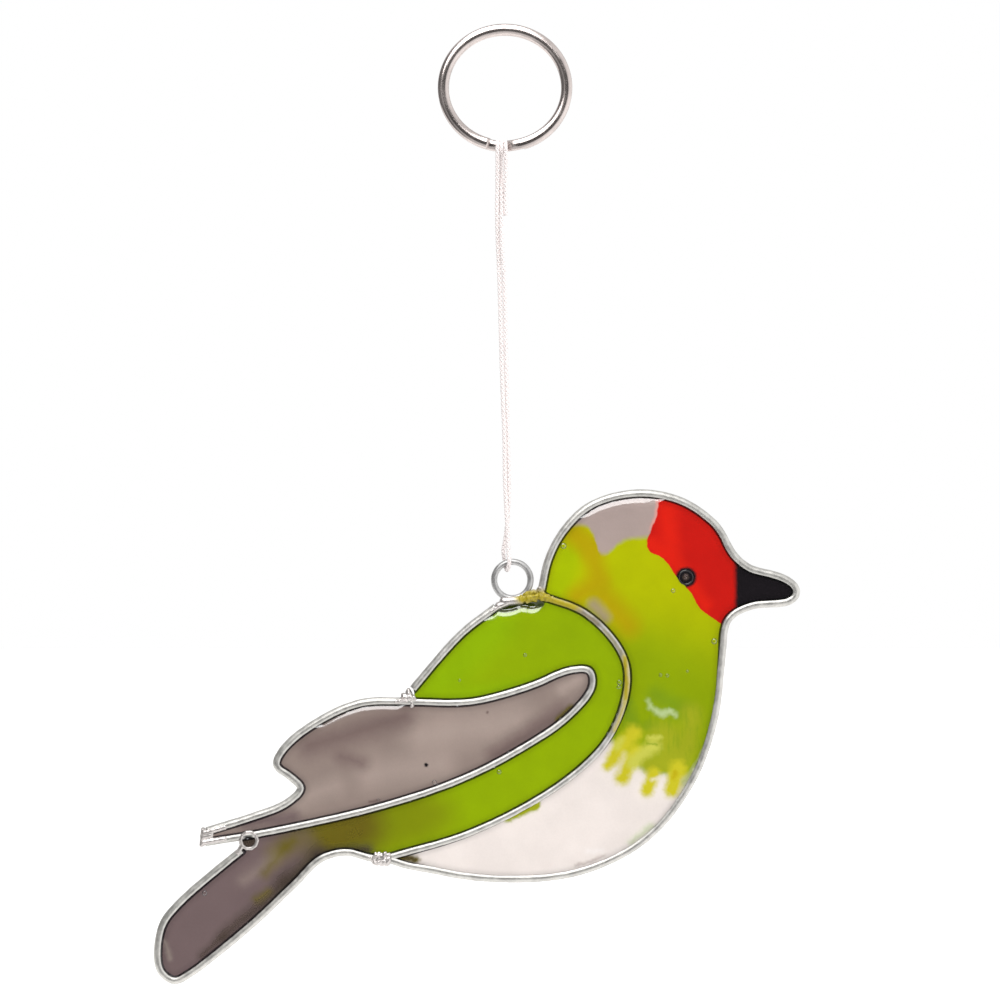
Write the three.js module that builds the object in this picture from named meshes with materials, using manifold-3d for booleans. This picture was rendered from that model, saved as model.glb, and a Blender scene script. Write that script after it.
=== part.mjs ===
// Stained glass suncatcher: a bird of bent and soldered wire whose openings are filled
// with coloured resin. A jump ring on its back hangs from a split ring by a doubled cord.
// Millimetres, +Z up. The bird looks towards +X and its front faces -Y. The origin is the
// point that it hangs from: the top of the split ring's eye.

import * as THREE from 'three';
import { mergeVertices } from 'three/addons/utils/BufferGeometryUtils.js';
import Module from 'manifold-3d';

// ---------------------------------------------------------------- driving dimensions

const GAP = 0.3; // left between pieces that touch
const WIRE_DIAMETER = 1.6; // the bird's outline wires
const WIRE_STEPS = 3; // from one bend point to the next
const ROUND_SIDES = 8; // sides of a round section

const PANEL_THICKNESS = 1.3; // resin, a little thinner than the wire around it
const PANEL_EDGE_ROUND = 0.3;
const PANEL_POINTS = 2; // of a panel's outline, from one bend point of a wire to the next
const PANEL_TOLERANCE = 0.06; // how much nearer to a wire an outline point may come

const BEAD_DIAMETER = 3.4; // the eye
const BEAD_HOLE = 1.8;
const BEAD_LENGTH = 1.5;
const BEAD_EDGE_ROUND = 0.4;
const BEAD_SEGMENTS = 16;
const BEAD_AT = [32.9, 0.5]; // [x, z] from the jump ring's centre

const LOOP_DIAMETER = 8.2; // the jump ring, outside
const LOOP_WIRE = 1.2;
const LOOP_SEGMENTS = 24;

const SOLDER_DEPTH = 2.2; // stands proud of the wires in front and behind
const SOLDER_SIDES = [12, 8]; // of a lump, round it and from end to end

const RING_WIDTH = 25.5; // the split ring, outside: pulled slightly oval
const RING_HEIGHT = 24.2;
const RING_COIL_WIDTH = 2.1; // of the flattened wire, across the ring
const RING_COIL_DEPTH = 1.15; // of the flattened wire, along the ring's axis
const RING_COIL_PITCH = 1.3; // from the front coil's middle to the back coil's
const RING_COIL_CHAMFER = 0.3;
const RING_FRONT_END = -105; // degrees from +X: where the front coil's end lies
const RING_CROSSING = 28; // degrees over which the front coil steps to the back
const RING_COIL_SWEEP = 330; // degrees that each coil covers beside the crossing
const RING_STEPS = 66;

const CORD_DIAMETER = 0.9;
const CORD_STEPS = 2; // from one point of the route to the next

const BIRD_AT = [1.4, 0, -103.5]; // the jump ring's centre, from the hanging point

// ---------------------------------------------------------------- bend points

// The wires lie in the bird's plane. Their bend points are [x, z] from the jump ring's
// centre, along the middle of the wire.

// from the shoulder over the crown, round the beak and the breast, to under the tail
const BODY_BENDS = [
  [5.6, -1.9], [6.9, 3.8], [9.8, 9.3], [15.1, 14.2], [23.9, 16.4], [32.1, 14.9],
  [38.7, 10.2], [41.9, 4.8], [45.0, 2.2], [50.9, 0.5], [53.8, -2.2], [50.7, -4.5],
  [44.3, -5.2], [40.8, -7.7], [39.7, -14.7], [38.4, -25.6], [34.2, -37.7],
  [25.2, -49.1], [11.9, -55.5], [-5.2, -56.5], [-20.7, -53.9],
];

// from the wing's corner on the back up to the shoulder
const BACK_BENDS = [[-18.8, -20.7], [-12.8, -13.6], [-9.0, -9.7], [-3.1, -5.2]];

// from the shoulder down the front edge of the wing, to under the tail
const WING_BENDS = [
  [6.6, -3.4], [13.2, -5.9], [18.8, -10.9], [21.6, -16.2], [21.4, -22.3],
  [18.2, -30.1], [11.9, -36.7], [1.5, -43.5], [-9.9, -48.7], [-20.6, -51.8],
];

// round the long feather: from its blunt end over the notch and the back to its point
// inside the wing, and below back to the blunt end
const FEATHER_BENDS = [
  [-58.0, -47.7], [-49.5, -45.1], [-42.8, -42.4], [-40.1, -39.5], [-42.1, -37.3],
  [-44.7, -35.1], [-43.2, -31.9], [-36.5, -26.7], [-28.6, -23.4], [-19.8, -23.1],
  [-8.0, -23.1], [3.4, -20.1], [10.6, -17.2], [14.6, -17.2], [15.1, -20.2],
  [10.6, -25.9], [1.5, -32.1], [-9.9, -37.9], [-25.1, -43.0], [-46.4, -47.8],
  [-58.3, -49.8],
];
const FEATHER_BACK_BEND = 9; // where the back wire meets it
const FEATHER_TAIL_BEND = 19; // where the tail starts below it

// round the tail: from the long feather down, round the tip, and back to under the wing
const TAIL_BENDS = [
  [-51.4, -51.4], [-57.1, -56.0], [-63.1, -61.3], [-66.2, -65.2], [-67.3, -70.4],
  [-66.7, -74.2], [-64.2, -76.0], [-61.3, -74.7], [-56.5, -71.1], [-48.3, -64.2],
  [-41.1, -57.3], [-36.5, -52.9], [-31.6, -51.6], [-27.4, -52.6],
];

// the wing panel's corner beside the solder where the tail starts
const TAIL_CORNER = [[-50.2, -51.6], [-47.4, -50.7]];

// The cord's route, [x, y, z] from the hanging point. One end is glued behind the split
// ring; the cord goes over the ring's foot and down, round the top of the jump ring, back
// up beside itself with half a twist, over the ring's foot again, and ends behind it too.
const CORD_ROUTE = [
  [0.2, 0.7, -34.2], [0.3, 0.75, -28.5], [0.2, 1.4, -24.6], [-0.2, 2.05, -22.2],
  [-0.4, 2.05, -20.4], [-0.5, 1.55, -19.3], [-0.5, 0.0, -19.0], [-0.5, -1.55, -19.3],
  [-0.5, -2.05, -20.4], [-0.5, -1.95, -22.2], [-0.5, -0.95, -25.0], [-0.5, -0.15, -29.0],
  [-0.6, -0.2, -34.0], [-0.5, -0.4, -39.5], [-0.1, -0.1, -46.5], [0.1, 0.0, -54.0],
  [0.25, 0.1, -61.5], [0.45, 0.3, -69.0], [0.55, 0.4, -76.5], [0.8, 0.35, -84.5],
  [0.55, 0.5, -91.0], [0.1, 0.6, -95.5], [-0.3, 1.0, -98.2],
  [0.0, 1.35, -100.1], [0.2, 0.95, -101.2], [0.4, 0.0, -101.65], [0.6, -0.95, -101.2],
  [0.8, -1.35, -100.1],
  [0.65, -1.0, -98.2], [0.55, -0.5, -95.5], [0.3, -0.5, -91.0], [-0.05, -0.35, -84.5],
  [-0.15, -0.4, -76.5], [-0.45, -0.3, -69.0], [-0.8, -0.1, -61.5], [-1.0, 0.0, -54.0],
  [-1.15, 0.1, -46.5], [-1.4, 0.4, -39.5], [-1.6, 0.0, -34.0], [-1.5, -0.15, -29.0],
  [-1.5, -0.95, -25.0], [-1.5, -1.95, -22.2], [-1.5, -2.05, -20.4],
  [-1.5, -1.55, -19.3], [-1.5, 0.0, -19.0], [-1.5, 1.55, -19.3], [-1.4, 2.05, -20.4],
  [-1.2, 2.05, -22.2], [-1.0, 1.6, -25.0], [-0.9, 1.1, -29.0], [-0.9, 1.05, -33.8],
];

// ---------------------------------------------------------------- materials

const finish = (color, roughness, metalness) =>
  new THREE.MeshStandardMaterial({ color, roughness, metalness });

const silverWire = finish(0xc4c4c0, 0.35, 1);
const solder = finish(0xb9b8b0, 0.5, 1);
const chrome = finish(0xd6d4d2, 0.12, 1);
const whiteCord = finish(0xf1e9e6, 0.85, 0);
const bodyResin = finish(0xb5c410, 0.1, 0);
const wingResin = finish(0x93af02, 0.1, 0);
const featherResin = finish(0x9b8c85, 0.1, 0);
const blackBead = finish(0x141014, 0.15, 0);

// ---------------------------------------------------------------- solids and booleans

const wasm = await Module();
wasm.setup();

function toSolid(geometry) {
  const bare = geometry.clone();
  bare.deleteAttribute('normal');
  bare.deleteAttribute('uv');
  const merged = mergeVertices(bare);
  return new wasm.Manifold(new wasm.Mesh({
    numProp: 3,
    vertProperties: merged.attributes.position.array,
    triVerts: new Uint32Array(merged.index.array),
  }));
}

function toGeometry(solid) {
  const mesh = solid.getMesh();
  const geometry = new THREE.BufferGeometry();
  geometry.setAttribute('position', new THREE.BufferAttribute(mesh.vertProperties, 3));
  geometry.setIndex(new THREE.BufferAttribute(mesh.triVerts, 1));
  return geometry;
}

// ---------------------------------------------------------------- wires and tubes

// The middle line of a bent wire or cord. Its steps are shared out evenly between its
// bend points, so a tight bend, whose points lie close together, gets short steps.
class BentPath extends THREE.CatmullRomCurve3 {
  constructor(points, stepsPerBend) {
    super(points);
    this.steps = (points.length - 1) * stepsPerBend;
  }

  getPointAt(u, target) {
    return this.getPoint(u, target);
  }

  getTangentAt(u, target) {
    return this.getTangent(u, target);
  }

  getSpacedPoints(divisions) {
    return this.getPoints(divisions);
  }
}

const wirePath = (bends) =>
  new BentPath(bends.map(([x, z]) => new THREE.Vector3(x, 0, z)), WIRE_STEPS);

// The corners of a round section, around a middle at [x, 0].
function roundCorners(diameter, x = 0) {
  const corners = [];
  for (let i = 0; i < ROUND_SIDES; i += 1) {
    const angle = ((i + 0.5) / ROUND_SIDES) * 2 * Math.PI;
    corners.push(new THREE.Vector2(
      x + (diameter / 2) * Math.cos(angle),
      (diameter / 2) * Math.sin(angle),
    ));
  }
  return corners;
}

function sweep(corners, path, steps) {
  const section = new THREE.Shape(corners);
  return new THREE.ExtrudeGeometry(section, { steps, extrudePath: path, bevelEnabled: false });
}

const tube = (path, diameter) => sweep(roundCorners(diameter), path, path.steps);

// ---------------------------------------------------------------- resin panels

// The points of a path from one of its bends to another.
function outlineAlong(path, fromBend = 0, toBend = path.points.length - 1) {
  const count = Math.abs(toBend - fromBend) * PANEL_POINTS;
  const bends = path.points.length - 1;
  const points = [];
  for (let i = 0; i <= count; i += 1) {
    const bend = fromBend + ((toBend - fromBend) * i) / count;
    const at = path.getPoint(bend / bends);
    points.push(new THREE.Vector2(at.x, at.z));
  }
  return points;
}

function distanceToOutline(point, outline) {
  const nearest = new THREE.Vector3();
  const from = new THREE.Vector3(point.x, point.y, 0);
  const side = new THREE.Line3();
  let least = Infinity;
  outline.forEach((corner, i) => {
    const next = outline[(i + 1) % outline.length];
    side.start.set(corner.x, corner.y, 0);
    side.end.set(next.x, next.y, 0);
    side.closestPointToPoint(from, true, nearest);
    least = Math.min(least, nearest.distanceTo(from));
  });
  return least;
}

// A closed outline moved inwards. Where it narrows to a corner, the points that would
// come too close to the far side are left out.
function insetOutline(outline, distance) {
  const ordered = THREE.ShapeUtils.isClockWise(outline) ? outline.slice().reverse() : outline;
  const moved = ordered.map((point, i) => {
    const next = ordered[(i + 1) % ordered.length];
    const along = next.clone().sub(ordered.at(i - 1)).normalize();
    return new THREE.Vector2(point.x - along.y * distance, point.y + along.x * distance);
  });
  const least = distance - PANEL_TOLERANCE;
  return moved.filter((point) => distanceToOutline(point, ordered) > least);
}

// Resin poured inside an outline of wires: rounded edges, and flat between them.
function panel(wireOutline) {
  const shape = new THREE.Shape(insetOutline(wireOutline, WIRE_DIAMETER / 2 + GAP));
  const depth = PANEL_THICKNESS - 2 * PANEL_EDGE_ROUND;
  const geometry = new THREE.ExtrudeGeometry(shape, {
    depth,
    bevelThickness: PANEL_EDGE_ROUND,
    bevelSize: PANEL_EDGE_ROUND,
    bevelOffset: -PANEL_EDGE_ROUND,
    bevelSegments: 1,
  });
  geometry.translate(0, 0, -depth / 2);
  geometry.rotateX(Math.PI / 2);
  return geometry;
}

// ---------------------------------------------------------------- solder, bead and rings

// Solder run between wires: lumps [x, z, half width, half height], all of one depth,
// melted together and kept clear of the wires.
function solderJoint(lumps, clearances) {
  const ball = new THREE.SphereGeometry(1, ...SOLDER_SIDES);
  const melted = lumps
    .map(([x, z, halfWidth, halfHeight]) => {
      const lump = ball.clone().scale(halfWidth, SOLDER_DEPTH / 2, halfHeight);
      return toSolid(lump.translate(x, 0, z));
    })
    .reduce((all, lump) => all.add(lump));
  const fitted = clearances.reduce((rest, clearance) => rest.subtract(clearance), melted);
  return toGeometry(fitted);
}

// A ring around the Y axis, from the corners of its section.
const ring = (corners, segments) => new THREE.LatheGeometry([...corners, corners[0]], segments);

function jumpRing(wireDiameter) {
  const middle = (LOOP_DIAMETER - LOOP_WIRE) / 2;
  return ring(roundCorners(wireDiameter, middle), LOOP_SEGMENTS);
}

function bead() {
  const outer = BEAD_DIAMETER / 2;
  const inner = BEAD_HOLE / 2;
  const half = BEAD_LENGTH / 2;
  return ring([
    new THREE.Vector2(inner, -half),
    new THREE.Vector2(outer - BEAD_EDGE_ROUND, -half),
    new THREE.Vector2(outer, BEAD_EDGE_ROUND - half),
    new THREE.Vector2(outer, half - BEAD_EDGE_ROUND),
    new THREE.Vector2(outer - BEAD_EDGE_ROUND, half),
    new THREE.Vector2(inner, half),
  ], BEAD_SEGMENTS);
}

// The split ring's wire: once round in front, a step back, and once round behind.
class SplitRingPath extends THREE.Curve {
  getPoint(t, target = new THREE.Vector3()) {
    const swept = t * (2 * RING_COIL_SWEEP + RING_CROSSING);
    const angle = THREE.MathUtils.degToRad(RING_FRONT_END - swept);
    const back = THREE.MathUtils.smoothstep(
      swept, RING_COIL_SWEEP, RING_COIL_SWEEP + RING_CROSSING,
    );
    return target.set(
      ((RING_WIDTH - RING_COIL_WIDTH) / 2) * Math.cos(angle),
      (back - 0.5) * RING_COIL_PITCH,
      ((RING_HEIGHT - RING_COIL_WIDTH) / 2) * Math.sin(angle),
    );
  }
}

function splitRing() {
  const depth = RING_COIL_DEPTH / 2;
  const width = RING_COIL_WIDTH / 2;
  const cut = RING_COIL_CHAMFER;
  const corners = [
    new THREE.Vector2(depth, cut - width),
    new THREE.Vector2(depth, width - cut),
    new THREE.Vector2(depth - cut, width),
    new THREE.Vector2(cut - depth, width),
    new THREE.Vector2(-depth, width - cut),
    new THREE.Vector2(-depth, cut - width),
    new THREE.Vector2(cut - depth, -width),
    new THREE.Vector2(depth - cut, -width),
  ];
  return sweep(corners, new SplitRingPath(), RING_STEPS);
}

// ---------------------------------------------------------------- the bird

function named(name, geometry, material) {
  const mesh = new THREE.Mesh(geometry, material);
  mesh.name = name;
  return mesh;
}

function makeWires(paths) {
  return Object.entries(paths).map(([name, path]) =>
    named(`${name}_wire`, tube(path, WIRE_DIAMETER), silverWire));
}

function makeSolder({ body, back, wing, feather, tail }) {
  const around = (path) => toSolid(tube(path, WIRE_DIAMETER + 2 * GAP));
  const aroundLoop = toSolid(jumpRing(LOOP_WIRE + 2 * GAP));
  const joints = {
    shoulder_solder: solderJoint(
      [[-0.8, -4.2, 1.9, 1.2], [1.4, -3.9, 2.0, 1.1], [3.5, -3.0, 2.3, 1.5]],
      [aroundLoop, around(body), around(back), around(wing)],
    ),
    back_solder: solderJoint([[-19.6, -21.6, 1.3, 1.1]], [around(feather), around(back)]),
    tail_solder: solderJoint([[-49.9, -49.9, 1.6, 1.7]], [around(feather), around(tail)]),
    belly_solder: solderJoint(
      [[-24.4, -53.0, 2.3, 1.3], [-22.8, -52.9, 1.7, 1.1]],
      [around(body), around(wing), around(tail)],
    ),
    feather_end_solder: solderJoint([[-59.1, -48.8, 0.5, 1.9]], [around(feather)]),
  };
  return Object.entries(joints).map(([name, geometry]) => named(name, geometry, solder));
}

// The head, breast and belly, with a hole through it for the eye.
function makeBodyPanel({ body, wing }) {
  const outline = [...outlineAlong(body), ...outlineAlong(wing).reverse()];
  const [x, z] = BEAD_AT;
  const radius = BEAD_DIAMETER / 2 + GAP;
  const hole = new THREE.CylinderGeometry(radius, radius, 2 * PANEL_THICKNESS, BEAD_SEGMENTS);
  const pierced = toSolid(panel(outline)).subtract(toSolid(hole.translate(x, 0, z)));
  return named('body_panel', toGeometry(pierced), bodyResin);
}

// The wing and the tail in one, round the point of the long feather.
function makeWingPanel({ back, wing, feather, tail }) {
  const besideTailSolder = TAIL_CORNER.map(([x, z]) => new THREE.Vector2(x, z));
  const outline = [
    ...outlineAlong(back),
    ...outlineAlong(wing),
    ...outlineAlong(tail).reverse(),
    ...besideTailSolder,
    ...outlineAlong(feather, FEATHER_TAIL_BEND, FEATHER_BACK_BEND),
  ];
  return named('wing_panel', panel(outline), wingResin);
}

function makeEye() {
  const eye = named('eye_bead', bead(), blackBead);
  const [x, z] = BEAD_AT;
  eye.position.set(x, 0, z);
  return eye;
}

function makeBird() {
  const paths = {
    body: wirePath(BODY_BENDS),
    back: wirePath(BACK_BENDS),
    wing: wirePath(WING_BENDS),
    feather: wirePath(FEATHER_BENDS),
    tail: wirePath(TAIL_BENDS),
  };
  const bird = new THREE.Group();
  bird.position.set(...BIRD_AT);
  bird.add(
    named('hanging_loop', jumpRing(LOOP_WIRE), silverWire),
    ...makeWires(paths),
    ...makeSolder(paths),
    makeBodyPanel(paths),
    makeWingPanel(paths),
    named('feather_panel', panel(outlineAlong(paths.feather)), featherResin),
    makeEye(),
  );
  return bird;
}

// ---------------------------------------------------------------- the whole suncatcher

function makeSuncatcher() {
  const suncatcher = new THREE.Group();

  const keyRing = named('split_ring', splitRing(), chrome);
  keyRing.position.z = RING_COIL_WIDTH - RING_HEIGHT / 2;

  const points = CORD_ROUTE.map((point) => new THREE.Vector3(...point));
  const route = new BentPath(points, CORD_STEPS);
  suncatcher.add(keyRing, named('cord', tube(route, CORD_DIAMETER), whiteCord), makeBird());
  return suncatcher;
}

export default makeSuncatcher();
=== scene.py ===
"""Stained glass suncatcher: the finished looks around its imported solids.

A bird of bent and soldered wire, its openings poured full of coloured resin, hangs by a
doubled braided cord from a split ring. Metres, +Z up, the front towards -Y. The origin is
the point that it hangs from. Places on the bird are millimetres from its jump ring.
"""

import math
import random

import bmesh
import bpy
from mathutils import Matrix, Vector, kdtree, noise
from mathutils.bvhtree import BVHTree


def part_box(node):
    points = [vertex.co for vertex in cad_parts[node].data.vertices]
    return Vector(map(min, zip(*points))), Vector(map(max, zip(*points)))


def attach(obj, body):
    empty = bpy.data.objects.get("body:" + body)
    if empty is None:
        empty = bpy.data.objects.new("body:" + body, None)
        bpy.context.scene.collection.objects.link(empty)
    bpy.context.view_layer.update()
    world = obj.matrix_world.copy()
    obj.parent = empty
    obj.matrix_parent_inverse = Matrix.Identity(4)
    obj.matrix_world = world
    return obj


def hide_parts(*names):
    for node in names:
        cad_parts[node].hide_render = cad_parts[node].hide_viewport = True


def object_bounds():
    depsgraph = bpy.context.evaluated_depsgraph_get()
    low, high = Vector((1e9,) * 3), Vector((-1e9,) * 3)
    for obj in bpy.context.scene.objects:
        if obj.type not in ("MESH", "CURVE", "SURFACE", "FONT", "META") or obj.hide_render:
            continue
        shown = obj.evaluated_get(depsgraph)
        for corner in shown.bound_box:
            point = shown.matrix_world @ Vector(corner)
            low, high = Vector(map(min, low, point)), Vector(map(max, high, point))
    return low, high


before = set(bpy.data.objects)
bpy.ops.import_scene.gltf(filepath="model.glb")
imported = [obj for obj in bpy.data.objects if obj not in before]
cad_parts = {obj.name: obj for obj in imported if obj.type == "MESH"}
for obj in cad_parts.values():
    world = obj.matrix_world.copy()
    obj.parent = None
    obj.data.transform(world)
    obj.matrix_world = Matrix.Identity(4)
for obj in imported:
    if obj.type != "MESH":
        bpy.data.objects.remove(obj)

bl_info = {
    "name": "Stained Glass Suncatcher",
    "version": (1, 0, 0),
    "blender": (4, 5, 0),
    "location": "3D View > Sidebar > Suncatcher",
    "description": "Makes a hanging bird of soldered wire and coloured resin",
    "category": "Object",
}

MM = 0.001
CAD_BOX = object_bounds()


def size_of(node):
    low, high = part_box(node)
    return Vector(high) - Vector(low)


def middle_of(node):
    low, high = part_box(node)
    return (Vector(high) + Vector(low)) / 2


BIRD = middle_of("hanging_loop")


def on_bird(x, z):
    """A place on the bird, in millimetres from its jump ring, as a point of the frame."""
    return BIRD + Vector((x, 0, z)) * MM


def display(red, green, blue):
    """A colour in display values from 0 to 255, as linear light."""
    def linear(value):
        value /= 255
        return value / 12.92 if value <= 0.04045 else ((value + 0.055) / 1.055) ** 2.4
    return (linear(red), linear(green), linear(blue))


def share(value):
    """A value held between 0 and 1."""
    return min(max(value, 0), 1)


def eased(value):
    """A share that starts and ends gently."""
    return value * value * (3 - 2 * value)


def level(at):
    """A point moved into the plane of the wires."""
    return Vector((at.x, 0, at.z))


# ------------------------------------------------------------------ sizes and colours


def length(name, description, millimetres):
    return bpy.props.FloatProperty(
        name=name, description=description, default=millimetres * MM,
        min=0.0, precision=5, subtype="DISTANCE", unit="LENGTH",
    )


def angle(name, description, degrees):
    return bpy.props.FloatProperty(
        name=name, description=description, default=math.radians(degrees), subtype="ANGLE",
    )


def colour(name, description, red, green, blue):
    return bpy.props.FloatVectorProperty(
        name=name, description=description, default=display(red, green, blue),
        min=0.0, max=1.0, size=3, subtype="COLOR",
    )


class SuncatcherSizes(bpy.types.PropertyGroup):
    """Sizes that the solids don't already settle"""

    wire: length("Wire", "Diameter of the bird's outline wires", 1.6)
    loop_wire: length("Jump ring wire", "Diameter of the jump ring's wire", 1.2)
    coil_width: length("Coil width", "Width of the split ring's flattened wire", 2.1)
    coil_depth: length("Coil depth", "Depth of the split ring's flattened wire", 1.15)
    coil_end: angle("Coil end", "Where the front coil ends, from +X", -105)
    coil_sweep: angle("Coil sweep", "How far each coil runs beside the crossing", 330)
    crossing: angle("Crossing", "How far the wire takes to step to the back coil", 28)
    cord: length("Cord", "Diameter of the braided cord", 0.9)
    cord_length: length("Cord length", "Real length of the cord, folded double", 208)
    plait: length("Plait", "Length in which a strand goes once round the cord", 2.6)
    resin_front: length("Resin front", "How far the resin rises before the wires' middle", 0.7)
    resin_edge: length("Resin edge", "How high the resin stands where it meets a wire", 0.57)
    bank_front: length("Bank front", "How far the resin rises where it piled up", 0.86)
    bank_edge: length("Bank edge", "How high piled up resin starts at a wire", 0.0)
    resin_back: length("Resin back", "How far the resin reaches behind the wires' middle", 0.62)
    resin_rim: length("Resin rim", "Width of the rounded rim beside the wires", 2.4)
    resin_mesh: length("Resin mesh", "Spacing of the resin surface's points", 0.9)
    # Past the bare wire, the wire's flank beside resin gets painted shade.
    seen_wire: length("Bare wire", "How far a wire's pale front reaches beside resin", 0.53)


class SuncatcherColours(bpy.types.PropertyGroup):
    """Colours of the resins and finishes"""

    lime: colour("Lime", "Cheek", 190, 197, 0)
    neck: colour("Neck green", "Back of the neck", 178, 198, 0)
    leaf: colour("Leaf green", "Breast", 151, 174, 4)
    moss: colour("Moss green", "Darker streaks on the breast", 134, 164, 22)
    wing: colour("Wing green", "Wing", 154, 182, 2)
    wing_top: colour("Wing top", "Upper left of the wing", 152, 188, 4)
    olive: colour("Olive", "Lower run of the wing", 136, 148, 10)
    brown: colour("Brown", "Where the wing turns to the tail", 112, 101, 26)
    tail: colour("Tail grey", "Tail", 122, 104, 104)
    # Dark tail grey is painted shade along the tail's lower edge and under the tail joint's ring;
    # it is also the grey in the eye bead's hole and a dark fleck beside the belly joint.
    tail_dark: colour("Dark tail grey", "Lower edge of the tail", 78, 66, 58)
    tail_pale: colour("Pale tail grey", "Tip of the tail", 160, 148, 138)
    feather: colour("Feather grey", "Long feather", 158, 141, 133)
    feather_pale: colour("Pale feather grey", "Middle of the long feather", 179, 162, 153)
    feather_dark: colour("Dark feather grey", "Upper left of the feather", 130, 111, 107)
    crown: colour("Crown grey", "Crown of the head", 186, 168, 162)
    fawn: colour("Fawn", "Grey patch behind the cheek", 176, 160, 122)
    ochre: colour("Ochre", "Streaks behind the cheek", 192, 171, 4)
    red: colour("Red", "Face", 212, 28, 20)
    bright_red: colour("Bright red", "Left side of the face", 232, 36, 20)
    pink: colour("Pink", "Fringe of the face", 232, 170, 160)
    # Black is also painted shade inside the tail's lower wire and under the tail joint's ring.
    black: colour("Black", "Beak", 28, 24, 28)
    white: colour("White", "Highlights of the belly", 255, 250, 248)
    milk: colour("Milk white", "Belly", 247, 238, 233)
    # The squiggle on the breast in pale green is a painted reflection.
    pale_green: colour("Pale green", "Squiggle on the breast", 198, 216, 160)
    yellow: colour("Yellow", "Brush strokes over the belly", 214, 205, 44)
    pale_yellow: colour("Pale yellow", "Light strokes over the belly", 212, 212, 88)
    gilt: colour("Gilt", "Yellow spilled over the metal", 184, 168, 22)
    dull_yellow: colour("Dull yellow", "Strokes between breast and belly", 172, 180, 34)
    silver: colour("Silver", "Wires", 206, 204, 199)
    aged_silver: colour("Aged silver", "Jump ring", 190, 189, 188)
    tin: colour("Tin", "Solder", 206, 200, 197)
    nickel: colour("Nickel", "Split ring", 214, 203, 199)
    cotton: colour("White", "Cord", 239, 231, 229)
    floor: colour("Floor", "Floor below the suncatcher", 246, 245, 244)


# ------------------------------------------------------------------ shader nodes


class Shader:
    """Short calls that add nodes to a shader tree and link them."""

    def __init__(self, tree):
        self.tree = tree

    def add(self, kind, inputs=None, **settings):
        node = self.tree.nodes.new(kind)
        for setting, value in settings.items():
            setattr(node, setting, value)
        for socket, value in (inputs or {}).items():
            if isinstance(value, bpy.types.NodeSocket):
                self.tree.links.new(value, node.inputs[socket])
            else:
                node.inputs[socket].default_value = value
        return node

    def math(self, operation, *values, clamp=False):
        inputs = dict(enumerate(values))
        return self.add("ShaderNodeMath", inputs, operation=operation, use_clamp=clamp).outputs[0]

    def vector(self, operation, *values):
        node = self.add("ShaderNodeVectorMath", dict(enumerate(values)), operation=operation)
        return node.outputs["Value" if operation in ("LENGTH", "DOT_PRODUCT") else "Vector"]

    def rise(self, value, low, high, to_low=0.0, to_high=1.0, curve="SMOOTHSTEP"):
        """Turns the range from low to high into the range from to_low to to_high."""
        inputs = {"Value": value, "From Min": low, "From Max": high}
        inputs.update({"To Min": to_low, "To Max": to_high})
        return self.add("ShaderNodeMapRange", inputs, interpolation_type=curve).outputs["Result"]

    def mix(self, mask, first, second, blend="MIX"):
        inputs = {0: mask, 6: opaque(first), 7: opaque(second)}
        node = self.add("ShaderNodeMix", inputs, data_type="RGBA", blend_type=blend)
        return node.outputs[2]

    def scaled(self, vector, factor):
        inputs = {0: vector, "Scale": factor}
        return self.add("ShaderNodeVectorMath", inputs, operation="SCALE").outputs["Vector"]

    def noise(self, place, scale, detail=2.0, roughness=0.5, output="Fac"):
        inputs = {"Vector": place, "Scale": scale, "Detail": detail, "Roughness": roughness}
        return self.add("ShaderNodeTexNoise", inputs).outputs[output]

    def grey(self, value):
        return self.add("ShaderNodeCombineColor", {0: value, 1: value, 2: value}).outputs[0]

    def attribute(self, name, output="Fac"):
        return self.add("ShaderNodeAttribute", attribute_name=name).outputs[output]

    def here(self):
        return self.add("ShaderNodeTexCoord").outputs["Object"]

    def group(self, name, **inputs):
        inputs = {socket.replace("_", " "): value for socket, value in inputs.items()}
        return self.add("ShaderNodeGroup", inputs, node_tree=bpy.data.node_groups[name]).outputs

    def feed(self, node, **sockets):
        """Links values to a node's sockets. Their names have _ for a space."""
        for socket, value in sockets.items():
            self.tree.links.new(value, node.inputs[socket.replace("_", " ")])

    def roughen(self, principled, height, strength, distance):
        """Small relief on the surface, from a height."""
        inputs = {"Height": height, "Strength": strength, "Distance": distance}
        self.feed(principled, Normal=self.add("ShaderNodeBump", inputs).outputs["Normal"])


def opaque(value):
    """A colour's values with a fourth for alpha; a socket stays as it is."""
    if isinstance(value, bpy.types.NodeSocket):
        return value
    return (*value[:3], 1.0)


SOCKETS = {"f": "NodeSocketFloat", "v": "NodeSocketVector", "c": "NodeSocketColor"}


def new_group(name, inputs, outputs):
    """An empty node group. Its sockets are given as {name: "f", "v" or "c"}. Returns its
    shader, what comes into it, and the node that its results are fed to."""
    tree = bpy.data.node_groups.new(name, "ShaderNodeTree")
    for socket, kind in inputs.items():
        tree.interface.new_socket(name=socket, in_out="INPUT", socket_type=SOCKETS[kind])
    for socket, kind in outputs.items():
        tree.interface.new_socket(name=socket, in_out="OUTPUT", socket_type=SOCKETS[kind])
    shader = Shader(tree)
    return shader, shader.add("NodeGroupInput").outputs, shader.add("NodeGroupOutput")


def make_place_group():
    """Millimetres from the jump ring, shifted a little so that poured edges waver."""
    shader, into, out = new_group("place on bird", {"Waver": "f"}, {"Place": "v"})
    from_ring = shader.vector("SUBTRACT", shader.here(), BIRD)
    place = shader.vector("MULTIPLY", from_ring, (1 / MM, 0, 1 / MM))
    wide = shader.vector("MULTIPLY", shader.noise(place, 0.22, output="Color"), (1.6, 0, 1.6))
    both = shader.vector("ADD", wide, shader.noise(place, 1.1, 1.0, output="Color"))
    centred = shader.vector("SUBTRACT", both, (1.3, 0, 1.3))
    shift = shader.scaled(shader.vector("MULTIPLY", centred, (1, 0, 1)), into["Waver"])
    shader.feed(out, Place=shader.vector("ADD", place, shift))


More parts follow.
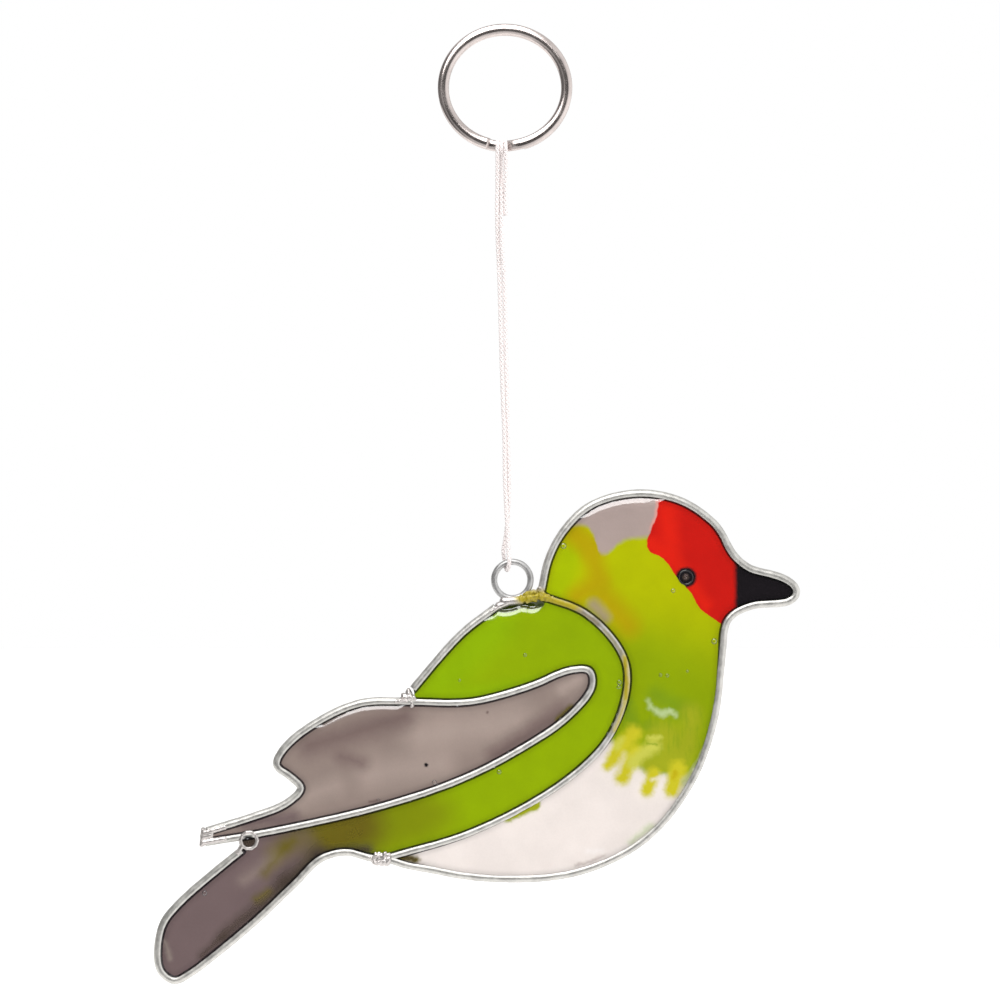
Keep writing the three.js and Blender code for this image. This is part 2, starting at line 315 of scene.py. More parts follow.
def make_stroke_group():
    """A mask that is one inside a round-ended stroke of a given half width."""
    inputs = {"Place": "v", "Start": "v", "End": "v", "Width": "f", "Softness": "f"}
    shader, into, out = new_group("brush stroke", inputs, {"Mask": "f"})
    from_start = shader.vector("SUBTRACT", into["Place"], into["Start"])
    stroke = shader.vector("SUBTRACT", into["End"], into["Start"])
    gone = shader.math(
        "DIVIDE", shader.vector("DOT_PRODUCT", from_start, stroke),
        shader.vector("DOT_PRODUCT", stroke, stroke), clamp=True,
    )
    away = shader.vector(
        "LENGTH", shader.vector("SUBTRACT", from_start, shader.scaled(stroke, gone)))
    inner = shader.math("SUBTRACT", into["Width"], into["Softness"])
    outer = shader.math("ADD", into["Width"], into["Softness"])
    shader.feed(out, Mask=shader.rise(away, inner, outer, 1.0, 0.0))


def make_resin_group():
    """What every resin shares: clouds of pigment, and painted shade in a line beside a wire and
    round a bubble's rim.
    """
    inputs = {"Colour": "c", "Place": "v"}
    outputs = {"Colour": "c", "Roughness": "f", "Height": "f"}
    shader, into, out = new_group("poured resin", inputs, outputs)
    clouds = shader.noise(into["Place"], 0.12, 4.0, 0.55)
    grain = shader.noise(into["Place"], 2.5, 3.0, 0.6)
    bright = shader.math(
        "MULTIPLY", shader.rise(clouds, 0.3, 0.7, 1.0, 1.08),
        shader.rise(grain, 0.3, 0.7, 0.985, 1.015))
    shaded = shader.mix(1.0, into["Colour"], shader.grey(bright), "MULTIPLY")
    # Painted shade: a dark line and a softer darkening beside each wire, and a dark ring round
    # each bubble's rim, all drawn in the darkened colour below.
    away = shader.attribute("from_wire")
    line = shader.rise(away, 0.8, 1.08, 1.0, 0.0)
    shade = shader.rise(away, 0.8, 2.2, 0.2, 0.0)
    rim = shader.rise(shader.attribute("bubble_rim"), 0.25, 0.8)
    dark = shader.math("MAXIMUM", shader.math("MAXIMUM", line, shade), rim)
    painted_shade_colour = shader.mix(1.0, into["Colour"], (0.12, 0.12, 0.14), "MULTIPLY")
    shader.feed(
        out, Colour=shader.mix(dark, shaded, painted_shade_colour),
        Roughness=shader.rise(grain, 0.3, 0.7, 0.03, 0.1),
        Height=shader.noise(into["Place"], 0.35))


def make_tarnish_group():
    """Fine mottling of a metal: a brightness, a roughness and a height."""
    inputs = {"Scale": "f", "Roughest": "f", "Smoothest": "f"}
    outputs = {"Brightness": "f", "Roughness": "f", "Height": "f"}
    shader, into, out = new_group("tarnish", inputs, outputs)
    coarse = shader.noise(shader.here(), into["Scale"], 5.0, 0.65)
    fine = shader.noise(shader.here(), 9000.0)
    uneven = shader.math("MULTIPLY_ADD", fine, 0.3, shader.math("MULTIPLY", coarse, 0.7))
    shader.feed(
        out, Brightness=shader.rise(coarse, 0.35, 0.65, 0.78, 1.0),
        Roughness=shader.rise(uneven, 0.3, 0.7, into["Smoothest"], into["Roughest"]),
        Height=shader.math("ADD", coarse, shader.math("MULTIPLY", fine, 0.25)))


def new_material(name, **plain):
    """A material with one Principled shader. Returns it, its nodes and the shader."""
    material = bpy.data.materials.new(name)
    material.use_nodes = True
    principled = material.node_tree.nodes["Principled BSDF"]
    for socket, value in plain.items():
        principled.inputs[socket.replace("_", " ")].default_value = value
    return material, Shader(material.node_tree), principled


# ------------------------------------------------------------------ resin colours

# Brush strokes: colour, start and end [x, z] in millimetres from the jump ring, half
# width and softness in millimetres. Later strokes lie over earlier ones.

HEAD_STROKES = [
    ("leaf", (24, -22), (30, -44), 11.0, 7.0),
    ("neck", (10.8, 4.5), (8.3, -2.5), 2.4, 1.8),
    ("ochre", (12.0, 8.6), (14.8, 6.0), 2.1, 1.8),
    ("ochre", (15.0, 6.0), (16.4, 0.5), 1.7, 2.0),
    ("ochre", (16.2, -0.5), (12.2, -3.0), 1.6, 1.9),
    ("ochre", (17.2, -3.0), (22.0, -8.5), 2.0, 2.4),
    ("fawn", (15.4, -4.6), (17.6, -7.0), 1.0, 1.1),
]

BREAST_STROKES = [
    ("moss", (21.8, -23.5), (23.2, -28.2), 1.2, 1.3),
    ("moss", (27.5, -22.0), (32.5, -24.6), 1.7, 2.0),
    ("moss", (25.8, -27.6), (28.2, -28.4), 0.9, 1.0),
    ("dull_yellow", (34.0, -25.5), (33.5, -31.0), 1.6, 2.0),
    ("dull_yellow", (28.5, -30.0), (32.5, -35.5), 3.2, 1.9),
]

BELLY_STROKES = [
    ("yellow", (22.9, -29.0), (19.2, -33.8), 1.4, 1.0),
    ("yellow", (18.8, -34.2), (18.1, -35.3), 0.8, 0.8),
    ("yellow", (23.4, -32.6), (20.7, -37.5), 1.3, 0.9),
    ("pale_yellow", (20.8, -30.4), (20.1, -32.0), 0.5, 0.9),
    ("pale_yellow", (26.6, -31.7), (23.2, -34.6), 1.4, 1.1),
    ("dull_yellow", (26.6, -35.2), (31.4, -34.2), 1.7, 1.2),
    ("leaf", (35.0, -34.0), (32.6, -38.4), 0.5, 1.8),
    ("yellow", (26.8, -36.6), (25.5, -40.0), 1.15, 0.8),
    ("yellow", (31.4, -35.6), (30.3, -39.8), 1.5, 0.9),
    ("ochre", (31.0, -36.6), (30.7, -37.6), 0.2, 0.9),
    ("pale_yellow", (25.8, -29.9), (27.7, -29.7), 0.45, 0.5),
    ("moss", (25.4, -30.9), (27.4, -31.3), 0.1, 0.4),
    ("milk", (26.4, -37.9), (28.4, -37.5), 0.1, 0.7),
    ("milk", (27.9, -38.8), (28.3, -40.8), 0.25, 0.5),
    ("dull_yellow", (-1.2, -44.9), (4.4, -42.6), 1.0, 0.5),
    ("feather", (-22.0, -53.6), (-17.6, -54.4), 0.4, 1.0),
    ("brown", (-21.4, -52.5), (-18.6, -52.9), 0.7, 0.6),
    ("tail_dark", (-20.4, -52.6), (-18.9, -52.8), 0.2, 0.8),
    ("crown", (12.0, -54.4), (17.4, -52.4), 0.05, 0.7),
    ("white", (14.0, -51.4), (17.0, -51.4), 0.1, 0.9),
    ("pale_green", (22.6, -49.6), (26.4, -46.6), 0.1, 1.4),
]

# A painted reflection: the pale squiggle on the breast.
PAINTED_SQUIGGLE_REFLECTION = [
    ("pale_green", (25.6, -22.9), (26.2, -24.2), 0.1, 0.9),
    ("pale_green", (26.2, -24.2), (27.4, -25.0), 0.2, 0.8),
    ("pale_green", (27.4, -25.0), (28.4, -25.4), 0.4, 0.8),
    ("pale_green", (28.5, -25.4), (29.9, -24.9), 0.4, 0.8),
    ("pale_green", (29.9, -24.9), (30.9, -25.6), 0.3, 0.8),
]

FACE_STROKES = [
    ("bright_red", (26.6, 7.0), (28.2, 5.2), 1.3, 0.9),
    ("bright_red", (29.4, 13.0), (30.2, 4.4), 1.8, 1.6),
    ("bright_red", (30.2, 4.4), (36.6, -4.6), 1.2, 1.2),
    ("black", (32.9, 0.5), (32.9, 0.5), 1.95, 0.35),
    ("tail_dark", (32.9, 0.5), (32.9, 0.5), 0.6, 0.25),
    ("black", (32.85, 0.55), (32.95, 0.45), 0.2, 0.14),
    # The three pale strokes that follow are a painted reflection in the bead's hole.
    ("tail", (32.7, 0.85), (33.2, 0.75), 0.08, 0.14),
    ("feather", (32.75, 0.55), (33.1, 0.35), 0.06, 0.12),
    ("tail", (33.1, 0.2), (32.7, 0.1), 0.06, 0.12),
]

WING_STROKES = [
    ("wing_top", (-15.0, -21.0), (-3.0, -8.5), 3.2, 3.0),
    ("wing_top", (-11.0, -22.0), (8.0, -19.5), 1.4, 1.6),
    ("olive", (-15.0, -44.5), (-24.0, -46.0), 3.2, 4.8),
    ("olive", (-20.0, -44.6), (-27.4, -48.0), 4.8, 3.4),
    ("brown", (-30.0, -46.5), (-40.5, -50.6), 5.2, 3.6),
    ("tail", (-47.4, -52.6), (-66.0, -74.0), 9.0, 3.6),
    ("brown", (-41.6, -49.6), (-44.8, -51.8), 1.2, 2.8),
    # Painted shade: dark tail grey and black just inside the tail's lower wire.
    ("tail_dark", (-27.5, -51.2), (-37.1, -52.2), 0.8, 1.4),
    ("black", (-30.2, -52.0), (-27.0, -52.4), 0.2, 1.0),
    ("feather", (-51.0, -57.0), (-45.0, -52.5), 0.2, 2.6),
    ("brown", (-43.0, -50.4), (-47.0, -55.6), 0.3, 2.0),
    # Painted shade along the tail's lower edge.
    ("tail_dark", (-37.1, -52.4), (-43.0, -57.2), 1.5, 2.6),
    ("tail_dark", (-43.0, -57.2), (-55.0, -67.7), 0.8, 1.8),
    ("tail_dark", (-55.0, -67.7), (-59.0, -71.4), 0.4, 1.4),
    ("brown", (-46.4, -59.0), (-48.6, -60.6), 0.3, 1.4),
    # Painted shade under the tail joint's ring.
    ("tail_dark", (-50.0, -49.4), (-50.0, -49.4), 1.35, 0.5),
    ("tail_pale", (-66.0, -68.6), (-64.9, -71.8), 0.15, 0.9),
]

FEATHER_STROKES = [
    ("feather_pale", (-17.0, -29.6), (1.0, -26.8), 3.2, 3.4),
    ("feather_pale", (-27.0, -37.0), (-14.0, -35.0), 2.4, 3.0),
    ("feather_pale", (-41.0, -41.8), (-33.5, -39.0), 1.4, 2.4),
    ("feather_pale", (9.4, -20.6), (12.6, -18.6), 1.0, 1.2),
    ("feather_dark", (-38.5, -31.5), (-20.5, -26.0), 1.8, 2.6),
    ("feather_dark", (-32.5, -33.5), (-28.5, -34.8), 0.9, 2.0),
    ("feather_dark", (-3.0, -33.0), (9.5, -25.0), 1.6, 2.0),
    ("brown", (8.6, -26.4), (11.0, -24.0), 0.35, 0.6),
    ("tail", (-50.5, -46.0), (-41.5, -45.0), 1.0, 1.6),
    ("black", (-16.4, -35.1), (-16.4, -35.1), 0.42, 0.2),
    ("feather_dark", (-27.0, -42.1), (-25.4, -41.8), 0.25, 0.25),
    ("feather_dark", (-4.8, -25.0), (-4.8, -25.0), 0.25, 0.2),
]

# Where two colours meet in a drawn line: [x, z] in millimetres from the jump ring.
CROWN_BORDER = [
    (8.0, 8.2), (10.2, 10.2), (13.0, 10.5), (15.2, 9.0), (16.2, 6.4), (17.2, 5.1),
    (18.6, 5.6), (20.2, 7.0), (22.0, 7.7), (25.4, 8.2), (30.0, 9.0),
]
FACE_BORDER = [
    (27.9, 17.0), (27.7, 14.6), (27.2, 11.8), (26.2, 9.2), (25.5, 7.2), (25.9, 5.6),
    (27.6, 4.8), (29.4, 3.2), (30.9, 0.9), (32.8, -1.1), (34.2, -2.8), (35.1, -4.6),
    (36.6, -6.1), (39.0, -7.8), (41.0, -9.5),
]
BELLY_BORDER = [
    (14.0, -29.6), (17.0, -30.2), (19.5, -31.0), (22.0, -33.0), (24.5, -35.6), (27.0, -36.6),
    (30.0, -37.0), (32.4, -37.2), (34.2, -35.4), (36.5, -31.5), (39.0, -27.0), (41.0, -22.0),
]


def lay_strokes(shader, place, base, strokes, colours):
    """Brushes strokes over a base colour, each over the ones before."""
    painted = opaque(base)
    for name, start, end, width, softness in strokes:
        mask = shader.group(
            "brush stroke", Place=place, Start=(start[0], 0, start[1]),
            End=(end[0], 0, end[1]), Width=width, Softness=softness,
        )["Mask"]
        painted = shader.mix(mask, painted, getattr(colours, name))
    return painted


def beyond(shader, along, across, line, softness):
    """A mask for what lies beyond a drawn line, given as pairs of along and across."""
    low, high = line[0][0], line[-1][0]
    least, most = min(a for _, a in line), max(a for _, a in line)
    curve = shader.add(
        "ShaderNodeFloatCurve", {"Value": shader.rise(along, low, high, curve="LINEAR")})
    points = curve.mapping.curves[0].points
    for _ in line[2:]:
        points.new(0.5, 0.5)
    for point, (at, value) in zip(points, line):
        point.location = ((at - low) / (high - low), (value - least) / (most - least))
    curve.mapping.update()
    drawn = shader.rise(curve.outputs["Value"], 0.0, 1.0, least, most, "LINEAR")
    return shader.rise(shader.math("SUBTRACT", across, drawn), -softness, softness)


def paint_body(shader, place, colours):
    """Lime head and leaf green breast, grey crown, red face, black beak, milk white belly."""
    part = shader.add("ShaderNodeSeparateXYZ", {"Vector": place}).outputs
    x, z = part["X"], part["Z"]
    painted = shader.mix(shader.rise(z, -24.0, -1.0), colours.leaf, colours.lime)
    painted = lay_strokes(shader, place, painted, HEAD_STROKES, colours)
    crown = beyond(shader, x, z, CROWN_BORDER, 0.7)
    painted = shader.mix(crown, painted, colours.crown)
    brushed = shader.group("place on bird", Waver=0.9)["Place"]
    painted = lay_strokes(shader, brushed, painted, BREAST_STROKES, colours)
    streaks = shader.noise(shader.vector("MULTIPLY", place, (1.5, 0, 0.28)), 1.0, 3.0)
    streaks = shader.math("MULTIPLY", streaks, shader.rise(z, -18.0, -26.0))
    painted = shader.mix(shader.rise(streaks, 0.45, 0.7, 0.0, 0.45), painted, colours.moss)
    # The pale squiggle is a painted reflection.
    painted = lay_strokes(shader, brushed, painted, PAINTED_SQUIGGLE_REFLECTION, colours)
    belly = beyond(shader, x, z, BELLY_BORDER, 0.9)
    painted = shader.mix(belly, colours.milk, painted)
    painted = lay_strokes(shader, brushed, painted, BELLY_STROKES, colours)
    turned = [(-down, across) for across, down in FACE_BORDER]
    downwards = shader.math("MULTIPLY", z, -1.0)
    fringe = beyond(shader, downwards, shader.math("ADD", x, 0.45), turned, 0.35)
    fringe = shader.math("MULTIPLY", fringe, shader.rise(z, 8.5, 10.5))
    painted = shader.mix(fringe, painted, colours.pink)
    face = lay_strokes(shader, place, colours.red, FACE_STROKES, colours)
    painted = shader.mix(beyond(shader, downwards, x, turned, 0.14), painted, face)
    return shader.mix(shader.rise(x, 41.7, 42.9), painted, colours.black)


def paint_wing(shader, place, colours):
    return lay_strokes(shader, place, colours.wing, WING_STROKES, colours)


def paint_feather(shader, place, colours):
    return lay_strokes(shader, place, colours.feather, FEATHER_STROKES, colours)


# How each panel is painted, and how far its colours waver, in millimetres.
PAINTS = {
    "body_panel": (paint_body, 0.35),
    "wing_panel": (paint_wing, 0.6),
    "feather_panel": (paint_feather, 0.5),
}


def resin_material(panel, colours):
    """The glossy resin of a panel."""
    paint, waver = PAINTS[panel]
    material, shader, principled = new_material(
        "poured " + panel.replace("_panel", " resin"), IOR=1.5, Transmission_Weight=0.35,
        Coat_Weight=1.0, Coat_IOR=1.6, Coat_Roughness=0.03)
    place = shader.group("place on bird", Waver=waver)["Place"]
    resin = shader.group("poured resin", Colour=paint(shader, place, colours), Place=place)
    shader.feed(principled, Base_Color=resin["Colour"], Roughness=resin["Roughness"])
    shader.roughen(principled, resin["Height"], 0.15, 0.2 * MM)
    return material


# ------------------------------------------------------------------ metal, cord and bead

# Resin spilled over the metal, and a black stroke of painted shade under the tail joint's ring:
# strokes as above.
SPILLED_AND_SHADE = [
    # Painted shade under the tail joint's ring.
    ("black", (-50.0, -49.4), (-50.0, -49.4), 1.1, 0.3),
    ("gilt", (2.0, -3.0), (6.0, -3.4), 1.6, 0.8),
    ("gilt", (6.0, -3.4), (12.0, -5.4), 1.1, 0.8),
    ("fawn", (12.6, -5.8), (16.2, -8.2), 0.5, 0.8),
    ("gilt", (17.4, -9.4), (20.4, -13.6), 0.1, 0.6),
    ("gilt", (21.3, -14.8), (21.6, -22.4), 0.9, 0.9),
    ("gilt", (21.4, -23.5), (19.4, -28.6), 0.5, 0.9),
]


def metal_material(
        name, base, colours, scale, smoothest, roughest, relief, metallic=0.84, spilled=(),
        cracked=0.0):
    """A plated or soldered metal, with cracked resin smeared on it and painted shade where
    strokes are given, and painted shade on a wire's flank beside resin.
    """
    material, shader, principled = new_material(name, Metallic=metallic)
    tarnish = shader.group("tarnish", Scale=scale, Roughest=roughest, Smoothest=smoothest)
    painted = shader.mix(1.0, base, shader.grey(tarnish["Brightness"]), "MULTIPLY")
    if spilled:
        place = shader.group("place on bird", Waver=0.5)["Place"]
        stain_and_shade = lay_strokes(shader, place, (1, 1, 1), spilled, colours)
        strong = shader.add("ShaderNodeSeparateColor", {"Color": stain_and_shade}, mode="HSV")
        strong = strong.outputs["Green"]
        folds = shader.math("ABSOLUTE", shader.math("SUBTRACT", shader.noise(place, 1.3), 0.5))
        folds = shader.math("MULTIPLY", shader.rise(folds, 0.0, 0.05, cracked, 0.0), strong)
        covered = shader.mix(folds, stain_and_shade, (0.25, 0.2, 0.04))
        painted = shader.mix(1.0, painted, stain_and_shade, "MULTIPLY")
        painted = shader.mix(shader.rise(strong, 0.2, 0.7, 0.0, 0.6), painted, covered)
        # Painted shade on the wire's flank where resin lies beside it.
        painted = shader.mix(shader.attribute("beside_resin"), painted, (0.02, 0.022, 0.018))
        shader.feed(principled, Metallic=shader.rise(strong, 0.1, 0.6, metallic, 0.15))
    shader.feed(principled, Base_Color=painted, Roughness=tarnish["Roughness"])
    shader.roughen(principled, tarnish["Height"], 0.5, relief)
    return material


def cord_material(colours):
    """White braided thread, with its fibres along each strand."""
    material, shader, principled = new_material("braided thread", Sheen_Weight=0.1)
    place = shader.attribute("fibre", "Vector")
    fibres = shader.noise(shader.vector("MULTIPLY", place, (5, 5, 0.6)), 1.0, 3.0)
    soil = shader.noise(shader.vector("MULTIPLY", place, (1, 1, 0.12)), 1.0)
    shade = shader.mix(shader.rise(fibres, 0.3, 0.65), (0.85, 0.8, 0.79), colours.cotton)
    shade = shader.mix(shader.rise(soil, 0.45, 0.7, 0.0, 0.5), shade, (0.9, 0.8, 0.79))
    shader.feed(
        principled, Base_Color=shade, Roughness=shader.rise(fibres, 0.3, 0.7, 0.9, 0.7))
    shader.roughen(principled, fibres, 0.25, 0.05 * MM)
    return material


def bead_material(colours):
    """Black glass of a seed bead, a little worn round its hole."""
    material, shader, principled = new_material("black glass", Coat_Weight=0.6)
    tarnish = shader.group("tarnish", Scale=1500.0, Roughest=0.3, Smoothest=0.06)
    shade = shader.mix(1.0, colours.black, shader.grey(tarnish["Brightness"]), "MULTIPLY")
    shader.feed(principled, Base_Color=shade, Roughness=tarnish["Roughness"])
    return material


def floor_material(colours):
    """A matt pale floor, faintly clouded."""
    material, shader, principled = new_material(
        "pale floor", Roughness=0.9, Emission_Color=(1, 1, 1, 1), Emission_Strength=0.45)
    cloud = shader.grey(shader.rise(shader.noise(shader.here(), 3.0, 4.0), 0.3, 0.7, 0.98, 1.0))
    shader.feed(principled, Base_Color=shader.mix(1.0, colours.floor, cloud, "MULTIPLY"))
    return material


# ------------------------------------------------------------------ shapes


def smooth_line(points, step):
    """A smooth line through the points, cut into steps of about the given length."""
    headings = []
    for i, point in enumerate(points):
        back = point - points[max(i - 1, 0)]
        ahead = points[min(i + 1, len(points) - 1)] - point
        heading = back.normalized() * ahead.length + ahead.normalized() * back.length
        headings.append((heading if heading.length else back + ahead).normalized())
    line = [points[0]]
    for i in range(len(points) - 1):
        start, end = points[i], points[i + 1]
        span = (end - start).length
        count = max(1, round(span / step))
        for k in range(1, count + 1):
            t = k / count
            line.append(
                start * (1 - t) ** 3
                + (start + headings[i] * span / 3) * 3 * t * (1 - t) ** 2
                + (end - headings[i + 1] * span / 3) * 3 * t * t * (1 - t)
                + end * t ** 3
            )
    return line


def joined_copy(node):
    """A copy of a node's mesh with its corners joined."""
    bm = bmesh.new()
    bm.from_mesh(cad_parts[node].data)
    bmesh.ops.remove_doubles(bm, verts=bm.verts, dist=0.001 * MM)
    bm.normal_update()
    bm.verts.index_update()
    return bm


def middle_line(node, diameter):
    """The middle line of a wire in the bird's plane: the middles of its rings of corners."""
    bm = joined_copy(node)
    ends = {
        corner
        for face in bm.faces
        if abs(face.normal.y) < 0.01 and max(abs(v.co.y) for v in face.verts) > diameter * 0.4
        for corner in face.verts
    }
    ring, seen = {min(ends, key=lambda v: v.co.x)}, set()
    while True:
        beside = {e.other_vert(v) for v in ring for e in v.link_edges} & ends
        if beside <= ring:
            break
        ring |= beside
    line = []
    while ring:
        corners = sorted(ring, key=lambda v: v.index)
        line.append(sum((v.co for v in corners), Vector()) / len(corners))
        seen |= ring
        ring = {e.other_vert(v) for v in ring for e in v.link_edges} - seen
    bm.free()
    return line


def frames_along(line):
    """At each point of a line, the point and two directions across it that don't twist."""
    side = Vector((0, 1, 0))
    frames = []
    for i, point in enumerate(line):
        ahead = (line[min(i + 1, len(line) - 1)] - line[max(i - 1, 0)]).normalized()
        side = (side - ahead * side.dot(ahead)).normalized()
        frames.append((point, side, ahead.cross(side)))
    return frames


def sweep(bm, line, across, above, sides, uneven=None):
    """Bends a closed cylinder along a line. Returns its corners, each with its step along
    the line and its turn round it. Its section reaches across (along Y) and above."""
    steps = len(line) - 1
    before = len(bm.verts)
    bmesh.ops.create_cone(
        bm, cap_ends=True, segments=sides, radius1=1, radius2=1, depth=2 * steps)
    lengthwise = [
        edge for edge in bm.edges if abs(edge.verts[0].co.z - edge.verts[1].co.z) > steps]
    bmesh.ops.subdivide_edges(bm, edges=lengthwise, cuts=steps - 1, use_grid_fill=True)
    frames = frames_along(line)
    placed = []
    for corner in list(bm.verts)[before:]:
        step = round((corner.co.z + steps) / 2)
        turn = math.atan2(corner.co.y, corner.co.x)
        point, side, up = frames[step]
        reach = side * math.cos(turn) * across + up * math.sin(turn) * above
        corner.co = point + reach * (1 + uneven(point + reach) if uneven else 1)
        placed.append((corner, step, turn))
    return placed


def revolve(bm, radius, ring_radius, flatten, sides, steps):
    """A ring round the Y axis with an oval section, its seam closed."""
    section = bmesh.ops.create_circle(bm, radius=radius, segments=sides)["verts"]
    bmesh.ops.scale(bm, vec=(1, flatten, 1), verts=section)
    bmesh.ops.translate(bm, vec=(ring_radius, 0, 0), verts=section)
    bmesh.ops.spin(
        bm, geom=bm.verts[:] + bm.edges[:], cent=(0, 0, 0), axis=(0, 1, 0),
        angle=2 * math.pi, steps=steps, use_merge=True,
    )
    bmesh.ops.remove_doubles(bm, verts=bm.verts, dist=0.001 * MM)


def mesh_of(bm, name):
    """A mesh made from a bmesh, which is used up."""
    mesh = bpy.data.meshes.new(name)
    bm.to_mesh(mesh)
    bm.free()
    return mesh


def put_in_scene(name, data):
    made = bpy.data.objects.new(name, data)
    bpy.context.scene.collection.objects.link(made)
    return made


def piece(name, bm, material, node):
    """Turns a bmesh into a piece that stands for a node."""
    bmesh.ops.recalc_face_normals(bm, faces=bm.faces)
    mesh = mesh_of(bm, name)
    mesh.shade_smooth()
    mesh.materials.append(material)
    made = put_in_scene(name, mesh)
    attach(made, "root")
    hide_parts(node)
    return made


# ------------------------------------------------------------------ the cord

# The middle of the cord in metres: up before the split ring and over its foot, under it
# and over it again, down, round the top of the jump ring, back up, over the foot a last
# time, and behind it.
CORD_ROUTE = [(x * MM, y * MM, z * MM) for x, y, z in [
    (0.12, -0.1, -34.2), (0.12, -0.5, -28.5), (0.12, -1.2, -24.8), (0.1, -1.95, -22.6),
    (0.1, -2.05, -21.3), (0.05, -1.5, -20.5), (-0.1, 0.0, -20.25), (-0.25, 1.5, -20.5),
    (-0.35, 2.05, -21.3), (-0.45, 1.8, -22.3), (-0.5, 0.8, -22.8), (-0.6, -0.8, -22.8),
    (-0.66, -1.8, -22.3), (-0.68, -2.05, -21.3), (-0.68, -1.5, -20.5), (-0.7, 0.0, -20.25),
    (-0.75, 1.5, -20.5), (-0.8, 2.05, -21.3), (-0.8, 1.95, -22.6), (-0.75, 1.0, -25.2),
    (-0.66, 0.1, -29.0), (-0.66, -0.15, -34.0), (-0.6, -0.35, -39.5), (-0.15, -0.1, -46.5),
    (0.05, 0.0, -54.0), (0.2, 0.1, -61.5), (0.4, 0.3, -69.0), (0.5, 0.4, -76.5),
    (0.75, 0.35, -84.5), (0.55, 0.5, -91.0), (0.1, 0.6, -95.5), (-0.3, 1.0, -98.2),
    (0.0, 1.35, -100.1), (0.2, 0.95, -101.2), (0.4, 0.0, -101.65), (0.6, -0.95, -101.2),
    (0.8, -1.35, -100.1),
    (0.65, -1.0, -98.2), (0.55, -0.5, -95.5), (0.3, -0.5, -91.0), (0.0, -0.35, -84.5),
    (-0.1, -0.4, -76.5), (-0.4, -0.3, -69.0), (-0.65, -0.1, -61.5), (-0.85, 0.0, -54.0),
    (-1.05, 0.1, -46.5), (-1.35, 0.3, -39.5), (-1.5, -0.05, -34.0), (-1.44, -0.15, -29.0),
    (-1.42, -0.95, -25.2), (-1.42, -1.95, -22.6), (-1.42, -2.05, -21.3),
    (-1.4, -1.5, -20.5), (-1.4, 0.0, -20.25), (-1.4, 1.5, -20.5), (-1.4, 2.05, -21.3),
    (-1.3, 2.05, -22.6), (-1.1, 1.6, -25.2), (-1.0, 1.1, -29.0), (-0.95, 1.05, -33.8),
]]
STRANDS = 6
PLAIT_STEPS = 12
STRAND_SIDES = 5


def plait(bm, line, sizes):
    """Strands round a line, half of them turning each way, over and under."""
    strand = sizes.cord * 0.2
    orbit = sizes.cord * 0.26
    lift = sizes.cord * 0.04
    fibre = bm.verts.layers.float_vector.new("fibre")
    frames = frames_along(line)
    for number in range(STRANDS):
        way = 1 if number % 2 else -1
        first = 4 * math.pi * (number // 2) / STRANDS
        route = []
        for i, (point, side, up) in enumerate(frames):
            turn = 2 * math.pi * i / PLAIT_STEPS
            reach = orbit + way * lift * math.cos(STRANDS / 2 * turn)
            across = side * math.cos(way * turn + first) + up * math.sin(way * turn + first)
            route.append(point + across * reach)
        for corner, step, turn in sweep(bm, route, strand, strand, STRAND_SIDES):
            corner[fibre] = (math.cos(turn) + 5 * number, math.sin(turn), step * 0.5)


class SUNCATCHER_OT_cord(bpy.types.Operator):
    """Braid the cord, folded double, along its real length"""

    bl_idname = "suncatcher.cord"
    bl_label = "Cord"

    def execute(self, context):
        sizes = context.scene.suncatcher_sizes
        route = [Vector(point) for point in CORD_ROUTE]
        line = smooth_line(route, sizes.plait / PLAIT_STEPS)
        bm = bmesh.new()
        plait(bm, line, sizes)
        material = cord_material(context.scene.suncatcher_colours)
        cord = piece("braided_cord", bm, material, "cord")
        return {"FINISHED"}


# ------------------------------------------------------------------ rings and bead


COIL_STEPS = 240


class SUNCATCHER_OT_split_ring(bpy.types.Operator):
    """Wind the split ring's two coils from one flattened wire"""

    bl_idname = "suncatcher.split_ring"
    bl_label = "Split ring"

    def execute(self, context):
        sizes = context.scene.suncatcher_sizes
        middle, whole = middle_of("split_ring"), size_of("split_ring")
        pitch = whole.y - sizes.coil_depth
        wide, tall = (whole.x - sizes.coil_width) / 2, (whole.z - sizes.coil_width) / 2
        sweep_of_both = 2 * sizes.coil_sweep + sizes.crossing
        line = []
        for step in range(COIL_STEPS + 1):
            swept = sweep_of_both * step / COIL_STEPS
            back = eased(share((swept - sizes.coil_sweep) / sizes.crossing)) - 0.5
            turn = sizes.coil_end - swept
            at = (wide * math.cos(turn), pitch * back, tall * math.sin(turn))
            line.append(middle + Vector(at))
        bm = bmesh.new()
        sweep(bm, line, sizes.coil_depth / 2, sizes.coil_width / 2, sides=24)
        colours = context.scene.suncatcher_colours
        material = metal_material(
            "bright nickel", colours.nickel, colours, scale=120.0, smoothest=0.12,
            roughest=0.24, relief=0.0006 * MM, metallic=0.94)
        piece("split_ring_coils", bm, material, "split_ring")
        return {"FINISHED"}


class SUNCATCHER_OT_jump_ring(bpy.types.Operator):
    """Make the jump ring on the bird's back"""

    bl_idname = "suncatcher.jump_ring"
    bl_label = "Jump ring"

    def execute(self, context):
        sizes = context.scene.suncatcher_sizes
        radius = (size_of("hanging_loop").x - sizes.loop_wire) / 2
        bm = bmesh.new()
        revolve(bm, sizes.loop_wire / 2, radius, flatten=1.0, sides=20, steps=96)
        for corner in bm.verts:
            corner.co += corner.co.normalized() * noise.noise(corner.co * 500) * 0.05 * MM
        bmesh.ops.translate(bm, vec=BIRD, verts=bm.verts)
        piece("jump_ring", bm, bpy.data.materials["aged silver"], "hanging_loop")
        return {"FINISHED"}


